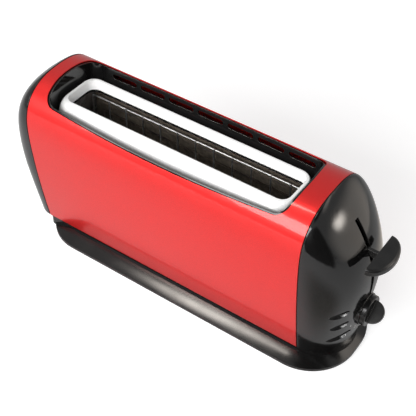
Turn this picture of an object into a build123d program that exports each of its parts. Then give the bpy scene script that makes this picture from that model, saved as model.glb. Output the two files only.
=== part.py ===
from build123d import *
import math
import os
from collections import namedtuple

# Long-slot toaster. Millimetres, +Z up, +X towards the control end, -Y the front.
# Lengths along X are counted from the middle of the red shell and shifted at the end,
# so that the origin lies under the middle of the whole toaster.

# Body section, shared by the shell and both end caps
body_width = 102.0
waist_height = 133.0
crown_height = 181.6
skirt_height = 13.8
skirt_width = 78.4
dome_power = 2.5
taper_power = 1.6
side_steps = 6
crown_turns = (15, 30, 45, 60, 72, 82)

# Red shell
shell_length = 300.0
shell_wall = 1.0
seam_gap = 1.0

# End caps: plan_swell makes the plan squarer than an ellipse half way up
cap_wall = 2.5
cap_belly_height = 93.2
cap_foot_power = 1.5
cap_shoulder_round = 1.1
plan_swell = 0.35
plan_points = 24
tongue_length = 5.0
tongue_wall = 1.6
tongue_gap = 0.15
tongue_foot_height = 22.0
EndCap = namedtuple("EndCap", "side depth foot_inset shoulder_power")
control_cap = EndCap(side=1, depth=45.4, foot_inset=8.4, shoulder_power=2.05)
plain_cap = EndCap(side=-1, depth=34.8, foot_inset=6.5, shoulder_power=3.4)

# Opening in the top of the shell, set towards the front
opening_left = -137.0
opening_right = 130.5
opening_front = 45.0
opening_rear = 36.0
opening_front_bow = 3.6
opening_rear_bow = 2.5
opening_end_bow = 4.2
opening_corner = 12.0

# Black trough that fills the opening; drops are counted down from the crown
bezel_gap = 0.4
bezel_wall = 1.8
bezel_side_slope = 5.0
bezel_end_slope = 1.0
trough_floor_drop = 32.4
trough_shoulder_drop = 21.6
vent_count = 7
vent_length = 28.5
vent_height = 5.6
vent_pitch = 33.0
vent_row_x = 2.0
vent_drop = 16.6

# Bright slot collar: a narrow flat rim and rounded flanks that run down to the trough's floor
slot_left = -127.5
slot_right = 116.5
slot_width = 40.2
slot_corner = 9.0
collar_drop = 18.6
collar_rim = 2.3
collar_front_flank = 11.0
collar_rear_flank = 3.0
collar_end_flank = 2.2
flank_turns = (0, 15, 30, 45, 60, 75, 90)
collar_sheet = 0.8
collar_inner_depth = 11.0
collar_flange = 1.9
collar_flange_inset = 38.0

# Base plate
base_left = -156.5
base_right = 193.3
base_width = 110.0
base_corner = 48.0
base_bottom = 2.0
base_lip = 3.0
base_floor = 2.5
flange_run = 14.0
flange_rise = 5.5
flange_wall = 2.2
plinth_inset = 0.6
plinth_wall = 2.4
plinth_left = -152.0
plinth_corner = 6.0
seat_gap = 0.3

# Rubber feet
foot_radius = 7.0
foot_places = [(-112.0, 28.0), (160.0, 20.0)]

# Inner frame
plate_thickness = 1.0
plate_gap = 7.0
plate_half_width = 35.0
plate_tab_length = 12.0
plate_tab_width = 7.0
rod_tab_length = 22.0
frame_top_gap = 0.3
rack_slot_width = 4.0

# Reflectors and heaters
reflector_offset = 35.4
reflector_sheet = 0.6
reflector_low = 22.0
reflector_lip = 5.0
card_offset = 30.0
card_thickness = 0.6
card_low = 30.0
card_top_gap = 9.1
card_end_gap = 0.2
ribbon_runs = 10
ribbon_width = 1.8
ribbon_thickness = 0.4
ribbon_margin = 9.0

# Guide grilles
guide_offset = 22.2
guide_wire = 0.8
guide_pivot_height = 40.0
guide_top_gap = 6.1
guide_bars = 13
guide_end_gap = 4.0
guide_weld = 0.4
pivot_clearance = 0.05

# Carriage
carriage_down = 48.0
carriage_up = 18.0
carriage_margin = 0.6
rod_x = 140.0
rod_y = 8.0
rod_radius = 3.0
running_clearance = 0.05
slider_length = 14.0
slider_back = 14.0
slider_front = -10.0
slider_low = 100.0
slider_high = 120.0
slider_edge = 2.0
rack_top = 97.0
rack_height = 8.0
rack_blade = 1.6
rack_rungs = 11
rack_rung_half = 14.0
rack_rung_radius = 1.1
rack_left_overrun = 5.0

# Lever
lever_drop = 51.3
lever_height = 7.0
lever_thickness = 3.4
lever_tip_x = 203.0
lever_knee_x = 156.0
lever_slot_gap = 0.9
lever_slot_margin = 1.0
lever_slot_drop = 22.2
paddle_chord_x = 197.45
paddle_reach_x = 213.6
paddle_half_chord = 24.8
paddle_skin = 1.5
paddle_thickness = 7.0
paddle_crown = 3.0
paddle_heel = 1.2
socket_clearance = 0.05

# Magnet and armature
magnet_width = 12.0
magnet_front = -16.0
magnet_low = 22.0
magnet_air_gap = 0.5
armature_thickness = 2.0

# Return spring
spring_wire = 0.7
spring_radius = 5.0
spring_turns = 9
spring_end_gap = 0.3

# Browning dial
dial_height = 60.5
dial_pad_radius = 15.8
dial_pad_root = 7.5
dial_pad_face = 195.8
dial_gap = 0.4
dial_radius = 14.8
dial_skirt = 4.6
dial_reach_x = 212.2
fin_radius = 10.9
fin_thickness = 4.8
fin_lean = 54.0
fin_root = 1.0
fin_edge = 1.0
dial_edge = 1.2
shaft_radius = 3.0
shaft_hole_gap = 0.4

# Push buttons: place across and up, and length of each oval
button_places = {
    "defrost_button": (-32.5, 76.0, 14.0),
    "reheat_button": (-28.6, 57.4, 14.0),
    "stop_button": (-24.1, 38.1, 19.5),
}
button_height = 6.0
button_slant = 24.0
button_gap = 0.35
button_proud = 0.6
button_travel = 1.8
button_collar_x = 170.5
button_collar_thickness = 1.2
button_collar_lip = 0.8
button_stem_radius = 1.6
button_scoop_radius = 5.0
button_scoop_depth = 0.55
button_scoop_place = 0.22

# Control board, narrower at its foot and cut down behind to let the arm pass
board_x = 160.0
board_thickness = 1.6
board_front = -37.0
board_foot_front = -33.0
board_foot_top = 30.0
board_notch_front = -8.0
board_notch_low = 70.0
board_back = 14.0
board_top = 79.5
switch_size = 6.0
switch_height = 4.8
pot_radius = 8.0
pot_depth = 9.0

# Crumb tray
tray_right = 116.0
tray_half_width = 27.0
tray_wall = 0.8
tray_depth = 7.0
tray_gap = 0.3
tray_grip_length = 7.0
tray_end_inset = 0.8
tray_grip_scoop = 3.4
tray_grip_edge = 1.5

# Cord inlet and terminals
gland_height = 36.0
gland_seat_x = -178.6
gland_flange_radius = 9.0
gland_flange = 2.0
gland_radius = 6.0
gland_fit = 0.05
gland_bore = 3.6
gland_inner_x = -168.0
gland_pad_radius = 11.5
gland_pad_depth = 4.0
terminal_length = 14.0
terminal_width = 24.0
terminal_height = 10.0
terminal_x = -158.0
terminal_wells = 3

# Screws
screw_radius = 1.5
screw_gap = 0.1
screw_head_radius = 3.0
screw_head_height = 1.6
screw_length = 7.0
screw_y = 31.5

# Room by which a cutting block runs past what it cuts
overcut = 1.0

# Worked-out places
seam = shell_length / 2 + seam_gap
trough_floor = crown_height - trough_floor_drop
trough_shoulder = crown_height - trough_shoulder_drop
vent_level = crown_height - vent_drop
collar_top = crown_height - collar_drop
lever_level = crown_height - lever_drop
lever_slot_high = crown_height - lever_slot_drop
lever_slot_low = lever_level - lever_height / 2 - carriage_down - lever_slot_margin
paddle_top = lever_level + lever_height / 2 + paddle_skin
floor_top = base_bottom + base_floor
flange_low = base_bottom + base_lip
flange_top = flange_low + flange_rise
plinth_top = skirt_height - seat_gap
slot_middle = (slot_left + slot_right) / 2
slot_length = slot_right - slot_left
opening_middle = (opening_left + opening_right) / 2
control_plate_x = slot_right + plate_gap
plain_plate_x = slot_left - plate_gap
frame_top = trough_floor - bezel_wall - frame_top_gap
card_high = frame_top - card_top_gap
guide_top = frame_top - guide_top_gap
inner_left = plain_plate_x
inner_right = control_plate_x
reach_left = -(shell_length / 2 + seam_gap + plain_cap.depth)
reach_right = paddle_reach_x
x_shift = -(reach_left + reach_right) / 2


def half_width(z, inset=0.0):
    """Half the body's width at height z: an egg-shaped taper up to the waist, a full dome above it."""
    half = body_width / 2 - inset
    if z <= waist_height:
        fall = (waist_height - z) / (waist_height - skirt_height)
        return half - (body_width - skirt_width) / 2 * fall ** taper_power
    rise = min(1.0, (z - waist_height) / (crown_height - inset - waist_height))
    return half * (1 - rise ** dome_power) ** (1 / dome_power)


def body_levels(inset=0.0, floor=skirt_height):
    """Heights at which the section is drawn, closer together towards the crown."""
    sides = [floor + (waist_height - floor) * i / side_steps for i in range(side_steps + 1)]
    rise = crown_height - inset - waist_height
    turns = [math.radians(angle) for angle in crown_turns]
    return sides + [waist_height + rise * math.sin(turn) ** (2 / dome_power) for turn in turns]


def body_section(inset=0.0, floor=skirt_height):
    """Closed outline of the body across its length, drawn in the YZ plane."""
    side = [(half_width(z, inset), z) for z in body_levels(inset, floor)]
    crown = [(0.0, crown_height - inset)]
    arch = Spline(*([(-y, z) for y, z in side] + crown + side[::-1]))
    sill = Line(side[0], (-side[0][0], floor))
    return Plane.YZ * make_face([arch, sill])


def body_bar(inset, start, end, floor=skirt_height):
    """The body section carried along X from start to end."""
    return Pos(start, 0, 0) * extrude(body_section(inset, floor), end - start)


def cap_depth(cap, z, inset=0.0):
    """How far a cap stands past the seam at height z."""
    depth = cap.depth - inset
    if z <= cap_belly_height:
        fall = (cap_belly_height - z) / (cap_belly_height - skirt_height)
        return depth - cap.foot_inset * fall ** cap_foot_power
    rise = (z - cap_belly_height) / (crown_height - inset - cap_belly_height)
    return depth * (1 - rise ** cap.shoulder_power) ** (1 / cap_shoulder_round)


def plan_power(z):
    """Power of the cap's plan at height z: 2, an ellipse, at foot and crown, squarer half way up."""
    share = (z - skirt_height) / (crown_height - skirt_height)
    return 2 + plan_swell * math.sin(math.pi * share) ** 2


def cap_slice(cap, z, inset):
    """Level plan of a cap at height z, a closed oval about the seam, started on the side that is cut away."""
    depth = cap_depth(cap, z, inset)
    width = half_width(z, inset)
    bend = 2 / plan_power(z)
    points = []
    for turn in range(plan_points):
        along = -math.cos(2 * math.pi * turn / plan_points)
        across = -math.sin(2 * math.pi * turn / plan_points)
        points.append((
            cap.side * depth * math.copysign(abs(along) ** bend, along),
            width * math.copysign(abs(across) ** bend, across),
        ))
    return Pos(cap.side * seam, 0, z) * make_face(Spline(*points, periodic=True))


def cap_solid(cap, inset=0.0, floor=skirt_height):
    """Level ovals stacked up the cap, with the half beyond the seam kept."""
    slices = [cap_slice(cap, z, inset) for z in body_levels(inset, floor)]
    room = 2 * cap.depth
    beyond = Pos(cap.side * (seam + room / 2), 0, 0) * Box(room, 2 * body_width, 3 * crown_height)
    return loft(slices) & beyond


def cap_face(cap, y, z, proud=0.0):
    """Point on the cap's outside at y and z, and the level outward normal there."""
    depth = cap_depth(cap, z, -proud)
    width = half_width(z, -proud)
    power = plan_power(z)
    out = (1 - (abs(y) / width) ** power) ** (1 / power)
    lean = math.copysign((abs(y) / width) ** (power - 1), y)
    normal = Vector(cap.side * out ** (power - 1) / depth, lean / width, 0).normalized()
    return Vector(cap.side * (seam + depth * out), y, z), normal


def cap_tongue(cap):
    """Thin ring on the cap that slips inside the end of the shell."""
    outer = shell_wall + tongue_gap
    ends = sorted((cap.side * (seam - tongue_length), cap.side * seam))
    ring = body_bar(outer, *ends) - body_bar(outer + tongue_wall, *ends, floor=skirt_height - overcut)
    below = Box(3 * shell_length, 2 * body_width, 2 * tongue_foot_height)
    return ring - below


def outline(side_inset, end_inset):
    """Plan of the top opening, drawn in from its sides and ends, as bowed edges with round corners."""
    left = opening_left + end_inset
    right = opening_right - end_inset
    front = side_inset - opening_front
    rear = opening_rear - side_inset
    front_corner = front + opening_front_bow
    rear_corner = rear - opening_rear_bow
    middle_y = (front_corner + rear_corner) / 2
    corner_left = left + opening_end_bow
    corner_right = right - opening_end_bow
    edges = [
        ThreePointArc((corner_left, front_corner), (opening_middle, front), (corner_right, front_corner)),
        ThreePointArc((corner_right, front_corner), (right, middle_y), (corner_right, rear_corner)),
        ThreePointArc((corner_right, rear_corner), (opening_middle, rear), (corner_left, rear_corner)),
        ThreePointArc((corner_left, rear_corner), (left, middle_y), (corner_left, front_corner)),
    ]
    face = make_face(edges)
    return fillet(face.vertices(), opening_corner - min(side_inset, end_inset))


def slab(face, low, high):
    """A plan outline carried straight up from low to high."""
    return Pos(0, 0, low) * extrude(face, high - low)


def block(x_low, x_high, y_low, y_high, z_low, z_high):
    """A square block between opposite corners."""
    middle = Pos((x_low + x_high) / 2, (y_low + y_high) / 2, (z_low + z_high) / 2)
    return middle * Box(x_high - x_low, y_high - y_low, z_high - z_low)


def rod(start, end, radius):
    """A round rod between two points."""
    path = Vector(*end) - Vector(*start)
    return extrude(Plane(origin=start, z_dir=path) * Circle(radius), path.length)


def outer_shell():
    half = shell_length / 2
    shell = body_bar(0, -half, half) - body_bar(shell_wall, -half, half, skirt_height - overcut)
    return shell - slab(outline(0, 0), waist_height, crown_height + overcut)


def top_bezel():
    skin = bezel_gap + bezel_wall
    low = trough_floor - bezel_wall
    outer_low = Pos(0, 0, low) * outline(bezel_gap + bezel_side_slope, bezel_gap + bezel_end_slope)
    outer_high = Pos(0, 0, trough_shoulder) * outline(bezel_gap, bezel_gap)
    inner_low = Pos(0, 0, trough_floor) * outline(skin + bezel_side_slope, skin + bezel_end_slope)
    inner_high = Pos(0, 0, trough_shoulder) * outline(skin, skin)
    outer = loft([outer_low, outer_high]) + slab(outline(bezel_gap, bezel_gap), trough_shoulder, crown_height)
    inner = loft([inner_low, inner_high]) + slab(outline(skin, skin), trough_shoulder, crown_height + overcut)
    trough = (outer - inner) & body_bar(shell_wall + bezel_gap, opening_left, opening_right)
    throat = slab(slot_outline(collar_rim), low - overcut, trough_floor + overcut)
    return trough - throat - bezel_vents()


def bezel_vents():
    """Row of long vents through the rear side of the trough."""
    rear_plane = Plane(origin=(vent_row_x, body_width, vent_level), x_dir=(1, 0, 0), z_dir=(0, -1, 0))
    vents = Part()
    for place in GridLocations(vent_pitch, 1, vent_count, 1):
        vent = rear_plane * place * SlotOverall(vent_length, vent_height)
        vents = vents + extrude(vent, body_width)
    return vents


def slot_outline(outset):
    """Plan of the toasting slot, grown outwards."""
    plan = RectangleRounded(slot_length + 2 * outset, slot_width + 2 * outset, slot_corner + outset)
    return Pos(slot_middle, 0) * plan


def flank_body(sheet, foot):
    """The collar's rounded body, drawn in by a sheet's thickness: plans that widen along a quarter turn."""
    plans = []
    for turn in flank_turns:
        spread = math.sin(math.radians(turn))
        level = foot + (collar_top - sheet - foot) * math.cos(math.radians(turn))
        ends = collar_rim + (collar_end_flank - sheet) * spread
        front = slot_width / 2 + collar_rim + (collar_front_flank - sheet) * spread
        rear = slot_width / 2 + collar_rim + (collar_rear_flank - sheet) * spread
        plan = RectangleRounded(slot_length + 2 * ends, front + rear, slot_corner + ends)
        plans.append(Pos(slot_middle, (rear - front) / 2, level) * plan)
    return loft(plans)


def slot_collar():
    foot = trough_floor
    leg = slab(slot_outline(collar_sheet), collar_top - collar_inner_depth, collar_top)
    ring = flank_body(0, foot) - (flank_body(collar_sheet, foot - overcut) - leg)
    ring = ring - slab(slot_outline(0), foot - overcut, collar_top + overcut)
    edge = -(slot_width / 2 + collar_rim + collar_front_flank)
    start = slot_left + collar_flange_inset
    end = slot_right - collar_flange_inset
    return ring + block(start, end, edge - collar_flange, edge + collar_sheet / 2, foot, foot + collar_sheet)


def base_outline(inset):
    """Plan of the base plate, drawn in all round."""
    length = base_right - base_left - 2 * inset
    middle = (base_left + base_right) / 2
    return Pos(middle, 0) * RectangleRounded(length, base_width - 2 * inset, base_corner - inset)


def plinth_outline(inset):
    """Plan of the raised plinth that carries the shell and reaches into the control cap."""
    left = plinth_left + inset
    half = skirt_width / 2 - inset
    straight = Pos((left + seam) / 2, 0) * Rectangle(seam - left, 2 * half)
    straight = fillet(straight.vertices().sort_by(Axis.X)[:2], plinth_corner - inset)
    nose = Pos(seam, 0) * Ellipse(cap_depth(control_cap, skirt_height) - inset, half)
    return straight + nose


def tray_way():
    """Clear way for the crumb tray through the plain end of the base."""
    half = tray_half_width + tray_gap
    return block(base_left - overcut, 0, -half, half, floor_top, floor_top + tray_depth + 2 * tray_gap)


def base_plate():
    lip = slab(base_outline(0), base_bottom, flange_low)
    slope = loft([Pos(0, 0, flange_low) * base_outline(0), Pos(0, 0, flange_top) * base_outline(flange_run)])
    plinth = slab(plinth_outline(plinth_inset), base_bottom, plinth_top)
    under = loft([
        Pos(0, 0, base_bottom) * base_outline(flange_wall),
        Pos(0, 0, flange_top - flange_wall) * base_outline(flange_run + flange_wall),
    ])
    flange = lip + slope - (under - plinth)
    well = slab(plinth_outline(plinth_inset + plinth_wall), floor_top, crown_height)
    base = flange + plinth - well - tray_way()
    head_room = screw_head_height + screw_gap
    for x, y in screw_places():
        base = base - rod((x, y, 0), (x, y, 2 * floor_top), screw_radius + screw_gap)
        base = base - rod((x, y, 0), (x, y, base_bottom + head_room), screw_head_radius + screw_gap)
    return base


def rubber_feet():
    feet = Part()
    for x, y in foot_places:
        for side in (-1, 1):
            pad = Pos(x, side * y, base_bottom / 2) * Cylinder(foot_radius, base_bottom)
            feet = feet + fillet(pad.edges().sort_by(Axis.Z)[0], base_bottom / 4)
    return feet


def control_end_cap():
    hollow = cap_solid(control_cap, cap_wall, skirt_height - overcut)
    pad_start = seam + control_cap.depth - dial_pad_root
    pad = rod((pad_start, 0, dial_height), (dial_pad_face, 0, dial_height), dial_pad_radius)
    cap = cap_solid(control_cap) - hollow + (pad - hollow) + cap_tongue(control_cap)
    half = lever_thickness / 2 + lever_slot_gap
    cap = cap - block(seam, reach_right, -half, half, lever_slot_low, lever_slot_high)
    hole = shaft_radius + shaft_hole_gap
    cap = cap - rod((board_x, 0, dial_height), (reach_right, 0, dial_height), hole)
    for place in button_places.values():
        cap = cap - button_bar(place, button_gap, board_x, reach_right)
    return cap


def plain_end_cap():
    outer = cap_solid(plain_cap)
    cap = outer - cap_solid(plain_cap, cap_wall, skirt_height + cap_wall)
    pad_start = (gland_seat_x + gland_pad_depth, 0, gland_height)
    pad = rod(pad_start, (reach_left, 0, gland_height), gland_pad_radius) & outer
    outside = (2 * reach_left, 0, gland_height)
    seat = rod((gland_seat_x, 0, gland_height), outside, gland_flange_radius + gland_fit)
    bore = rod((0, 0, gland_height), outside, gland_radius + gland_fit)
    return cap + pad - seat - bore + cap_tongue(plain_cap)


def cord_gland():
    seat = (gland_seat_x, 0, gland_height)
    flange = rod(seat, (gland_seat_x - gland_flange, 0, gland_height), gland_flange_radius)
    barrel = rod(seat, (gland_inner_x, 0, gland_height), gland_radius)
    bore = rod((gland_seat_x - 2 * gland_flange, 0, gland_height), (0, 0, gland_height), gland_bore)
    return flange + barrel - bore


def terminal_block():
    low = skirt_height + cap_wall
    body = Box(terminal_length, terminal_width, terminal_height)
    body = Pos(terminal_x, 0, low + terminal_height / 2) * body
    well_pitch = terminal_width / terminal_wells
    for place in GridLocations(1, well_pitch, 1, terminal_wells):
        well = Cylinder(well_pitch / 3, terminal_height)
        body = body - Pos(terminal_x, 0, low + terminal_height) * place * well
    return body


def end_plate(x, side):
    """Upright steel plate at one end of the slot, with a foot on each side and a window for the lift rack."""
    thickness = side * plate_thickness
    ends = sorted((x, x + thickness))
    plate = block(*ends, -plate_half_width, plate_half_width, floor_top, frame_top)
    window_low = rack_top - rack_height - carriage_down - carriage_margin
    window_high = rack_top + carriage_up + carriage_margin
    window = rack_slot_width / 2
    plate = plate - block(*ends, -window, window, window_low, window_high)
    for turn in (-1, 1):
        y_low, y_high = sorted((turn * plate_half_width, turn * (plate_half_width - plate_tab_width)))
        tab_ends = sorted((x, x + side * plate_tab_length))
        plate = plate + block(*tab_ends, y_low, y_high, floor_top, floor_top + plate_thickness)
        pivot = (turn * guide_offset, guide_pivot_height)
        plate = plate - rod((ends[0] - overcut, *pivot), (ends[1] + overcut, *pivot), guide_wire + pivot_clearance)
    for px, py in screw_places():
        plate = plate - Pos(px, py, floor_top) * Cylinder(screw_radius + screw_gap, 4 * plate_thickness)
    return plate


def plain_end_plate():
    """The plate at the plain end stands astride the crumb tray."""
    half = tray_half_width + 2 * tray_gap
    doorway = block(2 * plain_plate_x, 0, -half, half, 0, floor_top + tray_depth + 3 * tray_gap)
    return end_plate(plain_plate_x, -1) - doorway


def control_end_plate():
    """The plate at the control end also holds the guide rod between two tabs."""
    plate = end_plate(control_plate_x, 1)
    half = rod_radius + 2 * plate_thickness
    for low in (floor_top, frame_top - plate_thickness):
        tab_end = control_plate_x + rod_tab_length
        tab = block(control_plate_x, tab_end, rod_y - half, rod_y + half, low, low + plate_thickness)
        plate = plate + tab
    return plate - rod((rod_x, rod_y, floor_top - overcut), (rod_x, rod_y, frame_top + overcut), rod_radius)


def screw_places():
    """Screw centres in the middle of the four plate feet."""
    reach = plate_tab_length / 2 + plate_thickness / 2
    return [(x, y) for x in (plain_plate_x - reach, control_plate_x + reach) for y in (-screw_y, screw_y)]


def base_screws():
    screws = Part()
    for x, y in screw_places():
        head = Pos(x, y, base_bottom + screw_head_height / 2) * Cylinder(screw_head_radius, screw_head_height)
        shank = rod((x, y, base_bottom), (x, y, base_bottom + screw_length), screw_radius)
        drive = Pos(x, y, base_bottom) * Box(screw_head_radius, screw_radius / 2, screw_head_height)
        screws = screws + (head + shank - drive - drive.rotate(Axis((x, y, 0), (0, 0, 1)), 90))
    return screws


def reflector(side):
    """Bent sheet behind one heater, with a lip turned in at its foot."""
    near = side * reflector_offset
    far = side * (reflector_offset + reflector_sheet)
    y_low, y_high = sorted((near, far))
    x_low = inner_left + card_end_gap
    x_high = inner_right - card_end_gap
    sheet = block(x_low, x_high, y_low, y_high, reflector_low, frame_top - reflector_lip)
    toe_low, toe_high = sorted((far, side * (reflector_offset - reflector_lip)))
    toe = block(x_low, x_high, toe_low, toe_high, reflector_low, reflector_low + reflector_sheet)
    return sheet + toe


def heater_card(side):
    """Mica card that carries one heater ribbon."""
    y_low, y_high = sorted((side * card_offset, side * (card_offset + card_thickness)))
    return block(inner_left + card_end_gap, inner_right - card_end_gap, y_low, y_high, card_low, card_high)


def heater_ribbon(side):
    """Flat ribbon laid to and fro up the inner face of its card."""
    left = inner_left + ribbon_margin
    right = inner_right - ribbon_margin
    low = card_low + ribbon_margin
    pitch = (card_high - card_low - 2 * ribbon_margin) / (ribbon_runs - 1)
    middle = (left + right) / 2
    track = Sketch()
    for run in range(ribbon_runs):
        level = low + run * pitch
        track = track + Pos(middle, level) * Rectangle(right - left, ribbon_width)
        if run < ribbon_runs - 1:
            turn_x = (right, left)[run % 2] - (ribbon_width / 2) * (1, -1)[run % 2]
            track = track + Pos(turn_x, level + pitch / 2) * Rectangle(ribbon_width, pitch)
    face = Plane(origin=(0, side * card_offset, 0), x_dir=(1, 0, 0), z_dir=(0, -1, 0)) * track
    return extrude(face, side * ribbon_thickness)


def guide_grille(side):
    """Wire grille beside the slot; its lowest wire runs on into both end plates as the pivot."""
    y = side * guide_offset
    left = inner_left + guide_end_gap
    right = inner_right - guide_end_gap
    pivot_reach = plate_thickness / 2
    pivot_start = (inner_left - pivot_reach, y, guide_pivot_height)
    grille = rod(pivot_start, (inner_right + pivot_reach, y, guide_pivot_height), guide_wire)
    for level in (guide_top, (guide_pivot_height + guide_top) / 2):
        grille = grille + rod((left, y, level), (right, y, level), guide_wire)
    bar_y = y - side * (2 * guide_wire - guide_weld)
    for bar in range(guide_bars):
        x = left + guide_wire + (right - left - 2 * guide_wire) * bar / (guide_bars - 1)
        low = guide_pivot_height - guide_wire
        grille = grille + rod((x, bar_y, low), (x, bar_y, guide_top + guide_wire), guide_wire)
    return grille


def carriage_guide_rod():
    return rod((rod_x, rod_y, floor_top), (rod_x, rod_y, frame_top), rod_radius)


def carriage_slider():
    half = slider_length / 2
    body = block(rod_x - half, rod_x + half, slider_front, slider_back, slider_low, slider_high)
    body = fillet(body.edges().filter_by(Axis.Z), slider_edge)
    bore = rod_radius + running_clearance
    return body - rod((rod_x, rod_y, slider_low - overcut), (rod_x, rod_y, slider_high + overcut), bore)


def lift_rack():
    """Blade under the slot with rungs across it, carried by the slider at the control end."""
    right = rod_x - slider_length / 2
    left = inner_left - rack_left_overrun
    half = rack_blade / 2
    low = rack_top - rack_height
    rack = block(left, right, -half, half, low, rack_top - rack_rung_radius)
    rack = rack + block(right - plate_thickness, right, -half, half, low, slider_low + rack_height)
    span = slot_length - 2 * ribbon_margin
    for rung in range(rack_rungs):
        x = slot_middle - span / 2 + span * rung / (rack_rungs - 1)
        level = rack_top - rack_rung_radius
        rack = rack + rod((x, -rack_rung_half, level), (x, rack_rung_half, level), rack_rung_radius)
    return rack


def lever_arm():
    """Flat cranked arm from the slider out through the cap's slot."""
    foot = rod_x + slider_length / 2
    low = lever_level - lever_height / 2
    high = lever_level + lever_height / 2
    corners = [
        (foot, slider_low), (foot, slider_high), (lever_knee_x, high), (lever_tip_x, high),
        (lever_tip_x, low), (lever_knee_x + lever_height / 2, low), (foot + lever_height, slider_low),
    ]
    return extrude(Plane.XZ * make_face(Polyline(*corners, close=True)), lever_thickness / 2, both=True)


def lever_paddle():
    """Half-moon finger plate on the end of the arm, with a softly crowned top."""
    depth = paddle_reach_x - paddle_chord_x
    oval = Pos(paddle_chord_x, 0) * Ellipse(depth, paddle_half_chord)
    beyond = Pos(paddle_chord_x + depth, 0) * Rectangle(2 * depth, 4 * paddle_half_chord)
    plate = slab(oval & beyond, paddle_top - paddle_thickness, paddle_top)
    plate = fillet(plate.faces().sort_by(Axis.Z)[-1].edges().filter_by(GeomType.ELLIPSE), paddle_crown)
    plate = fillet(plate.faces().sort_by(Axis.Z)[0].edges().filter_by(GeomType.ELLIPSE), paddle_heel)
    half = lever_thickness / 2 + socket_clearance
    rise = lever_height / 2 + socket_clearance
    socket = block(0, lever_tip_x + socket_clearance, -half, half, lever_level - rise, lever_level + rise)
    return plate - socket


def armature_plate():
    half = magnet_width / 2
    back = magnet_front + magnet_width
    return block(rod_x - half, rod_x + half, magnet_front, back, slider_low - armature_thickness, slider_low)


def electromagnet():
    """Coil on a steel yoke that holds the carriage down, fixed to the control end plate."""
    half = magnet_width / 2
    y_low = magnet_front
    y_high = magnet_front + magnet_width
    high = slider_low - armature_thickness - carriage_down - magnet_air_gap
    core = block(rod_x - half, rod_x + half, y_low, y_high, magnet_low, high)
    centre = (y_low + y_high) / 2
    coil_low = magnet_low + armature_thickness
    coil_high = high - armature_thickness
    coil = rod((rod_x, centre, coil_low), (rod_x, centre, coil_high), half)
    waist = block(rod_x - half, rod_x + half, y_low, y_high, coil_low, coil_high)
    foot_x = control_plate_x + plate_thickness
    foot = block(foot_x, rod_x, y_low, y_high, magnet_low, magnet_low + armature_thickness)
    return core - waist + coil + foot


def return_spring():
    """Coil spring round the guide rod, between the plate's foot and the slider."""
    low = floor_top + plate_thickness + spring_end_gap + spring_wire
    high = slider_low - spring_end_gap - spring_wire
    pitch = (high - low) / spring_turns
    helix = Pos(rod_x, rod_y, low) * Helix(pitch, high - low, spring_radius)
    start = helix @ 0
    section = Plane(origin=start, z_dir=helix % 0) * Circle(spring_wire)
    return sweep(section, path=helix)


def button_bar(place, growth, start, end):
    """A slanted oval, one button's outline grown by a clearance, carried along X."""
    y, z, length = place
    plane = Plane(origin=(start, y, z), x_dir=(0, 1, 0), z_dir=(1, 0, 0))
    oval = plane * (Rot(0, 0, button_slant) * Ellipse(length / 2 + growth, button_height / 2 + growth))
    return extrude(oval, end - start)


def finger_scoop(place):
    """Ball that hollows the front half of a key."""
    y, z, length = place
    slant = math.radians(button_slant)
    along = length * button_scoop_place
    scoop_y = y - along * math.cos(slant)
    scoop_z = z - along * math.sin(slant)
    face, normal = cap_face(control_cap, scoop_y, scoop_z, button_proud)
    middle = face + normal * (button_scoop_radius - button_scoop_depth)
    return Pos(*middle) * Sphere(button_scoop_radius)


def push_button(place):
    """Oval key whose face follows the cap, with a finger scoop, a retaining lip and a stem."""
    y, z, length = place
    lip_back = button_collar_x - button_collar_thickness
    key = button_bar(place, 0, lip_back, reach_right) & cap_solid(control_cap, -button_proud)
    lip = button_bar(place, button_collar_lip, lip_back, button_collar_x)
    stem_end = board_x + board_thickness + switch_height + button_travel + button_gap
    stem = rod((stem_end, y, z), (lip_back, y, z), button_stem_radius)
    return key - finger_scoop(place) + lip + stem


def control_board():
    face = board_x + board_thickness
    foot = block(board_x, face, board_foot_front, board_back, floor_top + seat_gap, board_foot_top)
    front = block(board_x, face, board_front, board_notch_front, board_foot_top, board_top)
    back = block(board_x, face, board_notch_front, board_back, board_foot_top, board_notch_low)
    return foot + front + back


def button_switches():
    front = board_x + board_thickness
    half = switch_size / 2
    switches = Part()
    for y, z, length in button_places.values():
        switches = switches + block(front, front + switch_height, y - half, y + half, z - half, z + half)
    return switches


def potentiometer():
    front = board_x + board_thickness
    case = rod((front, 0, dial_height), (front + pot_depth, 0, dial_height), pot_radius)
    bush = shaft_radius + running_clearance
    return case - rod((front + pot_depth / 2, 0, dial_height), (reach_right, 0, dial_height), bush)


def dial_shaft():
    start = board_x + board_thickness + pot_depth / 2 + running_clearance
    end = dial_pad_face + dial_gap
    return rod((start, 0, dial_height), (end, 0, dial_height), shaft_radius)


def browning_knob():
    """Round skirt with a half-disc grip standing on it, leaning as the dial is set."""
    back = dial_pad_face + dial_gap
    front = back + dial_skirt
    skirt = rod((back, 0, dial_height), (front, 0, dial_height), dial_radius)
    skirt = fillet(skirt.edges().sort_by(Axis.X)[-1], dial_edge)
    disc = Pos(dial_reach_x - fin_radius, dial_height) * Circle(fin_radius)
    fin_back = back + fin_root
    standing = Pos(reach_right, dial_height) * Rectangle(2 * (reach_right - fin_back), 2 * crown_height)
    fin = extrude(Plane.XZ * (disc & standing), fin_thickness / 2, both=True)
    fin = fillet(fin.edges().filter_by(GeomType.CIRCLE), fin_edge)
    return skirt + fin.rotate(Axis((0, 0, dial_height), (1, 0, 0)), -fin_lean)


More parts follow.
